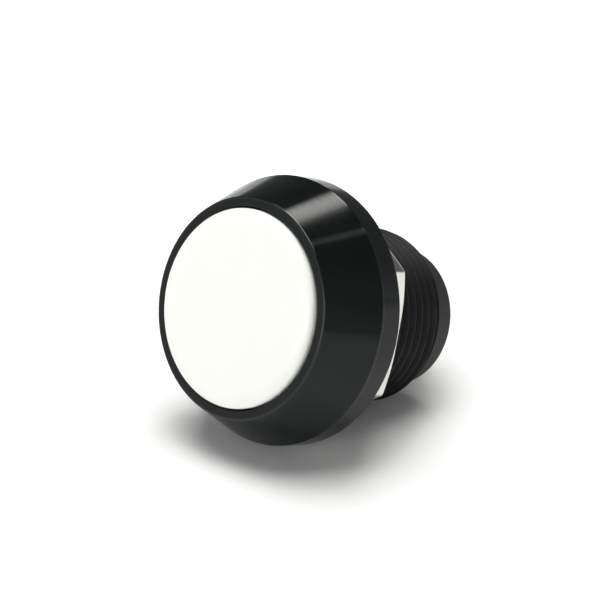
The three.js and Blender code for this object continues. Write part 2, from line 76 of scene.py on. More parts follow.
# ------------------------------------------------------------------ profiles
# A profile is a table of corners in half section: (distance from the axis, y, corner radius).
# One that starts and ends on the axis is solid; any other is a closed loop.
def fillet(corners, closed=True, steps=6):
    """Rounds a profile's corners. Returns rows of (r, y, nr, ny): points with outward normals."""
    corners = np.array(corners, float)
    pts, radii = corners[:, :2], corners[:, 2]
    n = len(pts)
    loop = pts if closed else np.vstack([pts, [[0, pts[-1][1]], [0, pts[0][1]]]])
    x, y = loop[:, 0], loop[:, 1]
    area = 0.5 * np.sum(x * np.roll(y, -1) - np.roll(x, -1) * y)
    turn = 1.0 if area > 0 else -1.0  # which side of a segment is outside
    out = []

    def normal(d):
        return np.array([d[1], -d[0]]) * turn

    for i, p in enumerate(pts):
        if not closed and i in (0, n - 1):
            along = (pts[1] - pts[0]) if i == 0 else (pts[-1] - pts[-2])
            facing = normal(along / np.linalg.norm(along))
            if p[0] == 0:
                facing = np.array([0.0, math.copysign(1, facing[1])])
            out.append([*p, *facing])
            continue
        before, after = p - pts[i - 1], pts[(i + 1) % n] - p
        len_before, len_after = np.linalg.norm(before), np.linalg.norm(after)
        before, after = before / len_before, after / len_after
        angle = math.acos(max(-1, min(1, float(before @ after))))
        if angle < 0.02:
            facing = normal(before) + normal(after)
            out.append([*p, *(facing / np.linalg.norm(facing))])
            continue
        trim = radii[i] * math.tan(angle / 2)
        trim = min(trim, 0.48 * len_before, 0.48 * len_after)
        radius = trim / math.tan(angle / 2)
        count = max(2, int(math.ceil(steps * angle / (math.pi / 2))))
        way = math.copysign(1, before[0] * after[1] - before[1] * after[0])
        centre = (p - before * trim) + way * radius * np.array([-before[1], before[0]])
        for j in range(count + 1):
            swing = way * angle * j / count
            c, s = math.cos(swing), math.sin(swing)
            d = np.array([before[0] * c - before[1] * s, before[0] * s + before[1] * c])
            out.append([*(centre - way * radius * np.array([-d[1], d[0]])), *normal(d)])
    return np.array(out)


def split_long(rows, longest):
    """Adds points to a filleted profile so that no straight stretch is longer than longest."""
    out = [rows[0]]
    for row in rows[1:]:
        start = out[-1]
        count = int(np.linalg.norm(row[:2] - start[:2]) // longest)
        for j in range(1, count + 1):
            w = j / (count + 1)
            between = start * (1 - w) + row * w
            between[2:] /= max(1e-9, np.linalg.norm(between[2:]))
            out.append(between)
        out.append(row)
    return np.array(out)


# ------------------------------------------------------------------ mesh helpers
def make_object(name, verts, faces, normals=None):
    mesh = bpy.data.meshes.new(name)
    mesh.from_pydata([tuple(v) for v in to_frame(verts)], [], faces)
    mesh.validate(verbose=False)
    bm = bmesh.new()
    bm.from_mesh(mesh)
    bmesh.ops.recalc_face_normals(bm, faces=bm.faces)
    if bm.calc_volume(signed=True) < 0:
        bmesh.ops.reverse_faces(bm, faces=bm.faces)
    bm.to_mesh(mesh)
    bm.free()
    for p in mesh.polygons:
        p.use_smooth = True
    if normals is not None:
        mesh.normals_split_custom_set_from_vertices([tuple(v) for v in normals])
    mesh.update()
    obj = bpy.data.objects.new(name, mesh)
    scene.collection.objects.link(obj)
    return obj


def full_turn(count):
    return np.linspace(0, 2 * np.pi, count, endpoint=False)


class Rings:
    """A surface made of rings about the Y axis, each with a radius, y and normal per angle.

    Angles run from +Z towards +X.
    """

    def __init__(self, angles):
        self.angles = angles
        self.rows = []

    def add(self, r, y, nr=0.0, ny=0.0, nt=0.0):
        """nr, ny and nt are the normal's parts: outwards, along Y and round the axis."""
        one = np.ones(len(self.angles))
        self.rows.append((r * one, y * one, nr * one, nt * one, ny * one))

    def profile(self, rows):
        for row in rows:
            self.add(*row)

    def build(self, name, closed=True, with_normals=True):
        verts, normals, ids = [], [], []
        count = len(self.angles)
        s, c = np.sin(self.angles), np.cos(self.angles)
        for r, y, nr, nt, ny in self.rows:
            first = len(verts)
            if np.all(r < 1e-9):
                ids.append([first] * count)
                verts.append((0, y[0], 0))
                normals.append((0, math.copysign(1, ny[0]) if ny[0] else 1, 0))
                continue
            ids.append(list(range(first, first + count)))
            for i in range(count):
                verts.append((r[i] * s[i], y[i], r[i] * c[i]))
                v = np.array([nr[i] * s[i] + nt[i] * c[i], ny[i], nr[i] * c[i] - nt[i] * s[i]])
                size = np.linalg.norm(v)
                normals.append(tuple(v / size if size > 1e-9 else (0, 1, 0)))
        faces = []
        for k in range(len(ids) if closed else len(ids) - 1):
            a, b = ids[k], ids[(k + 1) % len(ids)]
            for i in range(count):
                j = (i + 1) % count
                quad = [a[i], a[j], b[j], b[i]]
                face = [v for x, v in enumerate(quad) if v not in quad[:x]]
                if len(face) >= 3:
                    faces.append(face)
        return make_object(name, np.array(verts, float), faces, normals if with_normals else None)


def turned(name, corners, n, longest=1.2, steps=6):
    closed = not (corners[0][0] == 0 and corners[-1][0] == 0)
    rings = Rings(full_turn(n))
    rings.profile(split_long(fillet(corners, closed, steps), longest))
    return rings.build(name, closed=closed)


def apply_modifiers(obj):
    graph = bpy.context.evaluated_depsgraph_get()
    mesh = bpy.data.meshes.new_from_object(obj.evaluated_get(graph), depsgraph=graph)
    old = obj.data
    obj.modifiers.clear()
    obj.data = mesh
    bpy.data.meshes.remove(old)


def boolean(obj, operation, *others):
    """Combines obj with the others and removes them."""
    for other in others:
        modifier = obj.modifiers.new("boolean", "BOOLEAN")
        modifier.operation = operation
        modifier.solver = "EXACT"
        modifier.object = other
    apply_modifiers(obj)
    for other in others:
        bpy.data.objects.remove(other)


def smooth_by_angle(obj, degrees):
    mesh = obj.data
    bm = bmesh.new()
    bm.from_mesh(mesh)
    for e in bm.edges:
        if len(e.link_faces) == 2:
            e.smooth = e.calc_face_angle(0) < math.radians(degrees)
    bm.to_mesh(mesh)
    bm.free()
    for p in mesh.polygons:
        p.use_smooth = True


def rounded_copy(name, node, width, segments=3):
    """The CAD node's solid with its flat faces joined up and its edges rounded by width."""
    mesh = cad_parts[node].data.copy()
    mesh.name = name
    bm = bmesh.new()
    bm.from_mesh(mesh)
    bmesh.ops.remove_doubles(bm, verts=bm.verts, dist=2e-7)
    bmesh.ops.dissolve_limit(bm, angle_limit=math.radians(1.0), verts=bm.verts, edges=bm.edges)
    bm.to_mesh(mesh)
    bm.free()
    mesh.materials.clear()
    obj = bpy.data.objects.new(name, mesh)
    scene.collection.objects.link(obj)
    bevel = obj.modifiers.new("edges", "BEVEL")
    bevel.width = width * MM
    bevel.segments = segments
    bevel.limit_method = "ANGLE"
    bevel.angle_limit = math.radians(35)
    bevel.use_clamp_overlap = True
    apply_modifiers(obj)
    smooth_by_angle(obj, 32)
    return obj


def block(name, x_range, y_range, z_range, corner_radius=0.0):
    """A closed box whose edges along Y are rounded."""
    (x0, x1), (y0, y1), (z0, z1) = x_range, y_range, z_range
    outline = []
    for i, (x, z) in enumerate([(x0, z0), (x1, z0), (x1, z1), (x0, z1)]):
        if not corner_radius:
            outline.append((x, z))
            continue
        cx = x + (corner_radius if x == x0 else -corner_radius)
        cz = z + (corner_radius if z == z0 else -corner_radius)
        start = (math.pi, 1.5 * math.pi, 0, 0.5 * math.pi)[i]
        for k in range(5):
            a = start + k * math.pi / 8
            outline.append((cx + corner_radius * math.cos(a), cz + corner_radius * math.sin(a)))
    n = len(outline)
    verts = [(x, y, z) for y in (y0, y1) for x, z in outline]
    faces = [list(range(n))[::-1], list(range(n, 2 * n))]
    faces += [[i, (i + 1) % n, n + (i + 1) % n, n + i] for i in range(n)]
    return make_object(name, np.array(verts, float), faces)


def soft_min(a, b, blend):
    h = np.clip(0.5 + 0.5 * (b - a) / blend, 0, 1)
    return b * (1 - h) + a * h - blend * h * (1 - h)


def soft_max(a, b, blend):
    return -soft_min(-a, -b, blend)


# ------------------------------------------------------------------ shader helpers
class Graph:
    """A small builder for node trees."""

    def __init__(self, tree):
        self.tree = tree
        tree.nodes.clear()

    def feed(self, socket, value):
        if isinstance(value, bpy.types.NodeSocket):
            self.tree.links.new(value, socket)
        else:
            socket.default_value = value

    def fill(self, node, **values):
        """Feeds inputs by name, with _ for a space."""
        for name, value in values.items():
            self.feed(node.inputs[name.replace("_", " ")], value)
        return node

    def node(self, kind, *values, **settings):
        """A node with the given settings, and its first inputs fed in order."""
        made = self.tree.nodes.new("ShaderNode" + kind)
        for name, value in settings.items():
            setattr(made, name, value)
        for socket, value in zip(made.inputs, values):
            self.feed(socket, value)
        return made

    def math(self, op, *values):
        return self.node("Math", *values, operation=op).outputs[0]

    def add(self, a, b):
        return self.math("ADD", a, b)

    def times(self, a, b):
        return self.math("MULTIPLY", a, b)

    def vec(self, op, *values):
        outputs = self.node("VectorMath", *values, operation=op).outputs
        return outputs["Value"] if op in ("DOT_PRODUCT", "LENGTH") else outputs[0]

    def remap(self, value, span, to=(0.0, 1.0), smooth=False):
        kind = "SMOOTHSTEP" if smooth else "LINEAR"
        return self.node("MapRange", value, *span, *to, interpolation_type=kind).outputs[0]


class Mat(Graph):
    """A Principled material. Its coordinates are millimetres from the crown."""

    def __init__(self, name):
        self.material = bpy.data.materials.new(name)
        self.material.use_nodes = True
        super().__init__(self.material.node_tree)
        self.out = self.node("OutputMaterial")
        self.bsdf = self.node("BsdfPrincipled")
        self.feed(self.out.inputs["Surface"], self.bsdf.outputs[0])
        self.relief = None  # the last bump's normal

    @cached_property
    def position(self):
        """In metres."""
        return self.node("TexCoord").outputs["Object"]

    @cached_property
    def mm(self):
        return self.vec("MULTIPLY", self.position, (1000, 1000, 1000))

    @cached_property
    def axes(self):
        return self.node("SeparateXYZ", self.mm).outputs

    @cached_property
    def r(self):
        x, _, z = self.axes
        return self.math("SQRT", self.add(self.times(x, x), self.times(z, z)))

    @property
    def y(self):
        return self.axes[1]

    def set(self, **values):
        self.fill(self.bsdf, **values)

    def combine(self, x, y, z):
        return self.node("CombineXYZ", x, y, z).outputs[0]

    def noise(self, vector, scale, detail=3.0, rough=0.55, distortion=0.0):
        return self.fill(
            self.node("TexNoise"),
            Vector=vector,
            Scale=scale,
            Detail=detail,
            Roughness=rough,
            Distortion=distortion,
        ).outputs[0]

    def voronoi(self, scale):
        cells = self.fill(self.node("TexVoronoi"), Vector=self.mm, Scale=scale)
        return cells.outputs["Distance"]

    def mix(self, share, a, b):
        made = self.node("Mix", data_type="RGBA")
        self.feed(made.inputs["Factor"], share)
        for socket, value in ((made.inputs[6], a), (made.inputs[7], b)):
            self.feed(socket, (*value, 1) if isinstance(value, tuple) else value)
        return made.outputs[2]

    def bump(self, height, depth, strength):
        """Adds relief of the given depth on top of any earlier bump."""
        made = self.fill(self.node("Bump"), Strength=strength, Distance=depth * MM, Height=height)
        if self.relief is not None:
            self.feed(made.inputs["Normal"], self.relief)
        self.relief = made.outputs[0]
        self.set(Normal=self.relief)

    def around(self):
        """Unit tangent that runs round the barrel's axis, for turned surfaces."""
        return self.vec("NORMALIZE", self.vec("CROSS_PRODUCT", self.position, (0, 1, 0)))

    def near_ring(self, radius, y, inner, outer):
        """1 within inner of a circle round the axis, 0 beyond outer."""
        a = self.math("SUBTRACT", self.r, radius)
        b = self.math("SUBTRACT", self.y, SEAT_Y + y)
        away = self.math("SQRT", self.add(self.times(a, a), self.times(b, b)))
        return self.remap(away, (inner, outer), (1.0, 0.0), smooth=True)

    def angle(self):
        return self.math("ARCTAN2", self.axes[0], self.axes[2])

    def worn_edges(self, span):
        """White on convex edges, over a span of the mesh's own pointiness."""
        pointiness = self.node("NewGeometry").outputs["Pointiness"]
        return self.remap(pointiness, span, smooth=True)

    def turned_lines(self, per_mm, stretch):
        """Noise drawn out into rings round the axis: lathe marks, per_mm to a millimetre."""
        angle = self.angle()
        along = self.add(self.times(self.y, 0.92), self.times(self.r, 0.77))
        vector = self.combine(
            self.times(self.math("SINE", angle), stretch),
            self.times(self.math("COSINE", angle), stretch),
            self.times(along, per_mm),
        )
        return self.noise(vector, scale=1.0, detail=4.0, rough=0.62)


# ------------------------------------------------------------------ materials
def anodised_black():
    m = Mat("black_anodised")
    faced_dark, faced_light = (0.0044, 0.0074, 0.0066), (0.0070, 0.0108, 0.0098)
    thread_dark, thread_light = (0.0145, 0.0165, 0.0158), (0.0215, 0.0240, 0.0230)
    dust_colour = (0.045, 0.045, 0.043)

    fine = m.turned_lines(per_mm=26.0, stretch=0.8)
    coarse = m.turned_lines(per_mm=6.0, stretch=0.5)
    cloud = m.noise(m.mm, scale=0.35, detail=4)
    dust = m.remap(m.noise(m.mm, scale=9.0, detail=5, rough=0.7), span=(0.68, 0.80))
    # streaks that run across the lathe marks
    across = m.combine(m.times(m.angle(), 34.0), m.times(m.r, 0.25), m.times(m.y, 0.25))
    streak = m.noise(across, scale=1.0, detail=4, rough=0.6)
    thread = m.remap(m.y, span=(SEAT_Y + 0.1, SEAT_Y + 0.6))
    # the two turned ridges of the bezel
    ridge = m.math(
        "MAXIMUM",
        m.near_ring(radius=7.03, y=-5.33, inner=0.07, outer=0.12),
        m.near_ring(radius=8.72, y=-1.70, inner=0.07, outer=0.13),
    )

    def clouded(dark, light):
        return m.mix(m.remap(cloud, span=(0.35, 0.65)), dark, light)

    base = m.mix(m.times(dust, 0.10), clouded(faced_dark, faced_light), dust_colour)
    # the thread's flanks are duller and a little greyer than the faced surfaces
    base = m.mix(thread, base, clouded(thread_dark, thread_light))
    rough = m.add(m.remap(coarse, span=(0.3, 0.7), to=(0.125, 0.165)), m.times(dust, 0.10))
    rough = m.add(rough, m.remap(streak, span=(0.35, 0.65), to=(-0.012, 0.018)))
    rough = m.add(rough, m.times(thread, 0.36))
    # the ridges are burnished: tighter and a little brighter reflections
    rough = m.times(rough, m.remap(ridge, span=(0.0, 1.0), to=(1.0, 0.6)))
    m.set(
        Base_Color=base,
        Metallic=0.0,
        Roughness=rough,
        IOR=1.5,
        Specular_IOR_Level=m.remap(ridge, span=(0.0, 1.0), to=(0.43, 0.7)),
        Anisotropic=m.remap(ridge, span=(0.0, 1.0), to=(0.55, 0.0)),
        Anisotropic_Rotation=0.25,
        Tangent=m.around(),
    )
    m.bump(fine, depth=0.0012, strength=0.45)
    m.bump(coarse, depth=0.0022, strength=0.30)
    m.bump(m.noise(m.mm, scale=14.0), depth=0.0008, strength=0.25)
    return m.material


def cap_white():
    m = Mat("white_cap")
    dark, light, speck_colour = (0.826, 0.830, 0.801), (0.844, 0.848, 0.821), (0.55, 0.55, 0.52)
    cloud = m.noise(m.mm, scale=0.45, detail=4)
    specks = m.remap(m.voronoi(scale=1.7), span=(0.0, 0.05), to=(1.0, 0.0))
    patches = m.remap(m.noise(m.mm, scale=0.9, detail=1), span=(0.62, 0.7))
    rare = m.times(specks, patches)
    uneven = m.noise(m.mm, scale=1.6, detail=5, rough=0.65)
    m.set(
        Base_Color=m.mix(m.times(rare, 0.22), m.mix(cloud, dark, light), speck_colour),
        Roughness=m.remap(uneven, span=(0.3, 0.7), to=(0.13, 0.2)),
        IOR=1.5,
        Subsurface_Weight=0.12,
        Subsurface_Scale=0.0006,
        Subsurface_Radius=(1.0, 0.9, 0.75),
    )
    m.bump(m.noise(m.mm, scale=2.2, detail=2), depth=0.0035, strength=0.3)
    m.bump(m.noise(m.mm, scale=30.0, detail=2), depth=0.0005, strength=0.3)
    return m.material


def metal(name, dark, light, rough, wear, brushed=None, spots=0.0):
    """rough is a (low, high) pair and wear the colour of worn edges.

    brushed is "around" for lathe marks, or the noise's scale along x, y and z for straight ones.
    spots is how strongly dark spots show.
    """
    m = Mat(name)
    cloud = m.noise(m.mm, scale=0.7, detail=5, rough=0.6)
    if brushed == "around":
        lines = m.turned_lines(per_mm=22.0, stretch=0.8)
    elif brushed:
        lines = m.noise(m.vec("MULTIPLY", m.mm, brushed), scale=1.0, detail=4, rough=0.6)
    else:
        lines = m.noise(m.mm, scale=16.0, detail=4, rough=0.6)
    base = m.mix(m.remap(cloud, span=(0.3, 0.7)), dark, light)
    if spots:
        spotted = m.remap(m.noise(m.mm, scale=3.2, detail=5, rough=0.7), span=(0.6, 0.74))
        base = m.mix(m.times(spotted, spots), base, tuple(0.45 * c for c in dark))
    base = m.mix(m.times(m.worn_edges(span=(0.52, 0.58)), 0.35), base, wear)
    lines_rough = m.times(m.remap(lines, span=(0.3, 0.7), to=(-0.5, 0.5)), 0.06)
    m.set(
        Base_Color=base,
        Metallic=1.0,
        Roughness=m.add(m.remap(cloud, span=(0.3, 0.7), to=rough), lines_rough),
    )
    if brushed == "around":
        m.set(Anisotropic=0.4, Anisotropic_Rotation=0.25, Tangent=m.around())
    m.bump(lines, depth=0.0012, strength=0.6)
    m.bump(cloud, depth=0.004, strength=0.25)
    return m.material


def plastic_black():
    m = Mat("black_plastic")
    tone, worn = (0.027, 0.027, 0.028), (0.07, 0.07, 0.07)
    cloud = m.noise(m.mm, scale=0.8, detail=4)
    drawn_out = m.vec("MULTIPLY", m.mm, (1.2, 0.4, 1.2))
    flow = m.noise(drawn_out, scale=1.5, detail=4, distortion=0.6)
    base = m.mix(m.remap(flow, span=(0.3, 0.7)), tone, tuple(1.45 * c for c in tone))
    base = m.mix(m.times(m.worn_edges(span=(0.52, 0.57)), 0.25), base, worn)
    rough = m.remap(cloud, span=(0.3, 0.7), to=(0.42, 0.52))
    m.set(Base_Color=base, Roughness=rough, IOR=1.5)
    m.bump(m.voronoi(scale=9.0), depth=0.004, strength=0.3)
    m.bump(m.noise(m.mm, scale=22.0), depth=0.0016, strength=0.4)
    return m.material


def rubber_black():
    m = Mat("seal_rubber")
    clean, bloomed = (0.012, 0.012, 0.012), (0.035, 0.035, 0.034)
    cloud = m.noise(m.mm, scale=1.1, detail=5, rough=0.65)
    bloom = m.remap(m.noise(m.mm, scale=2.6, detail=6, rough=0.7), span=(0.5, 0.75))
    base = m.mix(m.times(bloom, 0.5), clean, bloomed)
    rough = m.remap(cloud, span=(0.3, 0.7), to=(0.62, 0.8))
    m.set(Base_Color=base, Roughness=rough, IOR=1.45, Sheen_Weight=0.1)
    m.bump(m.noise(m.mm, scale=18.0, detail=4), depth=0.003, strength=0.5)
    return m.material


def resin_black():
    m = Mat("sealing_resin")
    dark, light = (0.010, 0.0105, 0.012), (0.019, 0.019, 0.020)
    cloud = m.noise(m.mm, scale=0.6, detail=4, distortion=0.8)
    bubbles = m.remap(m.voronoi(scale=1.3), span=(0.03, 0.09), to=(1.0, 0.0), smooth=True)
    m.set(
        Base_Color=m.mix(m.remap(cloud, span=(0.3, 0.7)), dark, light),
        Roughness=m.remap(cloud, span=(0.3, 0.7), to=(0.10, 0.22)),
        IOR=1.55,
        Coat_Weight=0.3,
        Coat_Roughness=0.08,
    )
    m.bump(cloud, depth=0.03, strength=0.35)
    m.bump(bubbles, depth=-0.03, strength=0.4)
    return m.material


MATERIALS = {
    "black_anodised": anodised_black(),
    "white_cap": cap_white(),
    "nickel_plate": metal(
        "nickel_plate",
        dark=(0.66, 0.645, 0.62),
        light=(0.76, 0.75, 0.73),
        rough=(0.10, 0.20),
        wear=(0.85, 0.84, 0.82),
        brushed="around",
    ),
    "spring_steel": metal(
        "spring_steel",
        dark=(0.36, 0.36, 0.37),
        light=(0.52, 0.52, 0.53),
        rough=(0.24, 0.36),
        wear=(0.7, 0.7, 0.7),
    ),
    "seal_rubber": rubber_black(),
    "black_plastic": plastic_black(),
    "spring_bronze": metal(
        "spring_bronze",
        dark=(0.50, 0.33, 0.16),
        light=(0.62, 0.43, 0.22),
        rough=(0.22, 0.34),
        wear=(0.75, 0.58, 0.36),
        brushed=(14, 14, 0.8),
    ),
    "contact_silver": metal(
        "contact_silver",
        dark=(0.72, 0.71, 0.68),
        light=(0.86, 0.85, 0.83),
        rough=(0.16, 0.28),
        wear=(0.92, 0.92, 0.9),
        spots=0.15,
    ),
    "tinned_brass": metal(
        "tinned_brass",
        dark=(0.56, 0.55, 0.52),
        light=(0.70, 0.69, 0.66),
        rough=(0.26, 0.40),
        wear=(0.62, 0.52, 0.33),
        brushed=(16, 0.7, 16),
        spots=0.25,
    ),
    "sealing_resin": resin_black(),
}


def dress(obj, body, slot, node):
    """Gives a piece its material and the body it moves with, and hides the CAD node it stands for.
    """
    obj.data.materials.clear()
    obj.data.materials.append(MATERIALS[slot])
    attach(obj, body)
    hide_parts(node)
    return obj


# ------------------------------------------------------------------ bezel and barrel
RELIEF_R, RELIEF_END_Y = 5.42, 0.62  # the plain neck between flange and thread
BARREL_END_R, BARREL_END_Y = 5.47, 8.6

# The thread's rings go in between the relief's end and the barrel's end.
HOUSING_PROFILE = [
    (6.45, WELL_FLOOR_Y, 0.12),
    (6.45, -5.36, 0.07),
    (7.07, -5.36, 0.11),
    (BEZEL_R, -1.73, 0.10),
    (BEZEL_R, 0.0, 0.09),
    (8.12, 0.0, 0.04),
    (8.12, -0.7, 0.08),
    (6.92, -0.7, 0.08),
    (6.92, 0.0, 0.04),
    (RELIEF_R, 0.0, 0.10),
    (RELIEF_R, RELIEF_END_Y, 0.0001),
    (BARREL_END_R, BARREL_END_Y, 0.0001),
    (4.7, BARREL_END_Y, 0.10),
    (4.7, 0.55, 0.08),
    (2.95, 0.55, 0.05),
    (2.95, -0.3, 0.06),
    (2.15, -0.3, 0.05),
    (2.15, WELL_FLOOR_Y, 0.12),
]


def thread_radius(angles, y, clearance=0.0, widen=0.0):
    """Radius of a right-hand trapezoid thread with softened crest and root."""
    turn = y / PITCH - angles / (2 * np.pi)  # the crest runs from 0 to 1/8 of each turn
    away = np.abs((turn - 0.0625 + 0.5) % 1.0 - 0.5)
    s = (0.375 + widen - away) / 0.3125
    s = soft_min(soft_max(s, 0.0, 0.10), 1.0, 0.10)
    return THREAD_ROOT + clearance + (THREAD_R - THREAD_ROOT) * s


def barrel_radius(angles, y):
    """The barrel's thread, trimmed to a slope at each end."""
    rise = np.maximum(RELIEF_R + 1.0 * (y - 0.66), RELIEF_R)
    fall = BARREL_END_R + 0.95 * (BARREL_END_Y - y)
    return soft_min(soft_min(thread_radius(angles, y), rise, 0.03), fall, 0.03)


def build_housing():
    rows = fillet(HOUSING_PROFILE)
    start = max(
        i for i, row in enumerate(rows)
        if abs(row[0] - RELIEF_R) < 0.02 and row[1] < RELIEF_END_Y + 0.01
    )
    end = min(i for i, row in enumerate(rows) if i > start and row[1] > BARREL_END_Y - 0.1)
    rings = Rings(full_turn(216))
    rings.profile(split_long(rows[: start + 1], 1.5))
    t, e = rings.angles, 1e-4
    for y in np.arange(0.68, 8.585, 0.0335):
        r = barrel_radius(t, y)
        slope_y = (barrel_radius(t, y + e) - barrel_radius(t, y - e)) / (2 * e)
        slope_t = (barrel_radius(t + e, y) - barrel_radius(t - e, y)) / (2 * e)
        rings.add(r, y, nr=1.0, ny=-slope_y, nt=-slope_t / r)
    rings.profile(split_long(rows[end:], 1.5))
    dress(rings.build("bezel_and_barrel"), "root", "black_anodised", "housing")


# ------------------------------------------------------------------ nut
NUT_FLATS = 14.0  # across flats
NUT_Y = (0.4, 2.37)
NUT_FACE_R = 7.2  # where the chamfer starts on each face
NUT_MOUTH_R = 6.12  # the countersink's radius at each face
NUT_CORNER = math.radians(90 - 33.8)  # the first corner, from +Z towards +X
NUT_CORNER_TRIM, NUT_CORNER_BLEND = 0.03, 0.10
NUT_EDGE = 0.035  # rounding where faces and chamfer meet
# columns in half a flat, in degrees from the corner
NUT_DEGREES = [0, 0.25, 0.5, 0.8, 1.2, 1.8, 2.6, 3.8, 5.5, 8, 11, 14.5, 18.5, 22.5, 26, 30]


def build_nut():
    y0, y1 = NUT_Y
    degrees = NUT_DEGREES + [60 - d for d in NUT_DEGREES[-2:0:-1]]
    t = np.array([NUT_CORNER + k * math.pi / 3 + math.radians(d) for k in range(6) for d in degrees])
    rings = Rings(t)
    from_middle = (t - NUT_CORNER) % (math.pi / 3) - math.pi / 6  # from the middle of a flat
    flat = (NUT_FLATS / 2) / np.cos(from_middle)
    corner_r = (NUT_FLATS / 2) / math.cos(math.pi / 6) - NUT_CORNER_TRIM
    hexagon = soft_min(flat, np.full_like(flat, corner_r), NUT_CORNER_BLEND)
    chamfer = np.maximum(0.0, hexagon - NUT_FACE_R) * math.tan(math.pi / 6)
    chamfered = chamfer > 0.02
    rim = np.minimum(hexagon, NUT_FACE_R)
    halfway = rim + (hexagon - rim) * 0.5
    b = NUT_EDGE
    side_depth = chamfer + 2.2 * b
    # (radius, depth below the face), from the countersink out to the flats
    face_to_flat = [
        (NUT_MOUTH_R + 0.02, 0),
        (NUT_MOUTH_R + 0.06, 0),
        (6.5, 0),
        (6.9, 0),
        (rim - 2 * b, 0),
        (rim - b * 0.35, b * 0.12),
        (np.minimum(rim + b * 0.6, hexagon), b * 0.5),
        (
            np.where(chamfered, halfway, hexagon),
            np.where(chamfered, chamfer * 0.5 + b * 0.4, b * 1.2),
        ),
        (
            np.where(chamfered, hexagon - 0.02, hexagon),
            np.where(chamfered, chamfer * 0.97, b * 1.6),
        ),
        (hexagon, side_depth),
    ]
    for r, depth in face_to_flat:
        rings.add(r, y1 - depth)
    for w in (0.25, 0.5, 0.75):
        rings.add(hexagon, (y1 - side_depth) * (1 - w) + (y0 + side_depth) * w)
    for r, depth in reversed(face_to_flat):
        rings.add(r, y0 + depth)
    for y in np.arange(y0 + 0.012, y1 - 0.005, 0.03):
        r = thread_radius(t, y, clearance=0.08, widen=0.05)
        for depth in (y - y0, y1 - y):
            r = soft_max(r, NUT_MOUTH_R - depth, 0.03)
        rings.add(r, y)
    obj = rings.build("clamp_nut", with_normals=False)
    weighted = obj.modifiers.new("normals", "WEIGHTED_NORMAL")
    weighted.mode = "FACE_AREA_WITH_ANGLE"
    weighted.weight = 60
    weighted.keep_sharp = True
    smooth_by_angle(obj, 50)
    dress(obj, "nut", "nickel_plate", "hex_nut")


# ------------------------------------------------------------------ cap
CAP_DOME_R = 5.25  # the dome's edge
CAP_SIDE_Y = -5.43  # where the edge's rounding meets the side

# from the side, round the skirt, underside and hub, to the bottom of the socket
CAP_UNDERSIDE = [
    (CAP_R, -5.2, 0.02),
    (CAP_R, -3.15, 0.12),
    (5.6, -3.15, 0.10),
    (5.6, -4.35, 0.25),
    (2.4, -4.35, 0.20),
    (2.4, -3.15, 0.08),
    (1.27, -3.15, 0.10),
    (1.27, -4.25, 0.10),
    (0, -4.25, 0),
]


def build_cap():
    outline = []
    for i in range(25):
        r = CAP_DOME_R * i / 24
        outline.append((r, -SEAT_Y + 0.20 * (r / 5.9) ** 2))
    # a near quarter ellipse from the dome to the side
    edge_r, edge_y = outline[-1]
    for k in range(1, 15):
        a = (math.pi / 2) * k / 14
        r = edge_r + (CAP_R - edge_r) * math.sin(a) ** 0.92
        y = edge_y + (CAP_SIDE_Y - edge_y) * (1 - math.cos(a)) ** 1.02
        outline.append((r, y))
    pts = np.array(outline)
    along = np.gradient(pts, axis=0)
    normals = np.stack([along[:, 1], -along[:, 0]], 1)
    normals /= np.linalg.norm(normals, axis=1)[:, None]
    rings = Rings(full_turn(216))
    rings.profile(np.hstack([pts, normals]))
    rings.profile(split_long(fillet(CAP_UNDERSIDE, closed=False), 0.8))
    dress(rings.build("push_cap", closed=False), "button", "white_cap", "button_cap")


# ------------------------------------------------------------------ seal and washer
def build_panel_seal():
    inner_r, outer_r, front_y, rear_y, corner = 7.0, 8.04, -0.66, -0.02, 0.26
    profile = [
        (inner_r, rear_y, corner),
        (outer_r, rear_y, corner),
        (outer_r, front_y, corner),
        (inner_r, front_y, corner),
    ]
    obj = turned("panel_seal", profile, n=180, steps=8)
    dress(obj, "root", "seal_rubber", "panel_o_ring")


WASHER_TEETH = 12
WASHER_Y = (0.06, 0.36)
WASHER_R = 7.5
TOOTH_TIP_R, TOOTH_LENGTH, TOOTH_TWIST = 6.08, 0.64, 0.03
WASHER_EDGE = 0.05  # rounding of the edges


def build_washer():
    rings = Rings(full_turn(WASHER_TEETH * 24))
    # the gaps between teeth are centred on the same angles as the CAD notches
    phase = (rings.angles - math.pi / 2) * WASHER_TEETH / (2 * math.pi)
    from_gap = np.abs((phase + 0.5) % 1.0 - 0.5)  # 0 at the middle of a gap
    gap = 1 / (1 + np.exp((from_gap - 0.14) / 0.014))
    inner = TOOTH_TIP_R + TOOTH_LENGTH * gap
    front_twist = TOOTH_TWIST * (1 - gap) * np.sin(2 * math.pi * phase)
    rear_twist = front_twist * 0.4
    y0, y1 = WASHER_Y
    outer, e = WASHER_R, WASHER_EDGE
    # (radius, y): out along the front face, back in along the rear face, then the bore
    for r, y in [
        (inner + e, y0 + front_twist),
        (inner + 0.15, y0 + front_twist),
        (6.85, y0),
        (7.2, y0),
        (outer - e, y0),
        (outer - e * 0.3, y0 + e * 0.3),
        (outer, y0 + e),
        (outer, y1 - e),
        (outer - e * 0.3, y1 - e * 0.3),
        (outer - e, y1),
        (7.2, y1),
        (6.85, y1),
        (inner + 0.15, y1 + rear_twist),
        (inner + e, y1 + rear_twist),
        (inner, y1 - e + rear_twist),
        (inner, y0 + e + front_twist),
    ]:
        rings.add(r, y)
    obj = rings.build("toothed_washer", with_normals=False)
    smooth_by_angle(obj, 40)
    dress(obj, "washer", "spring_steel", "lock_washer")


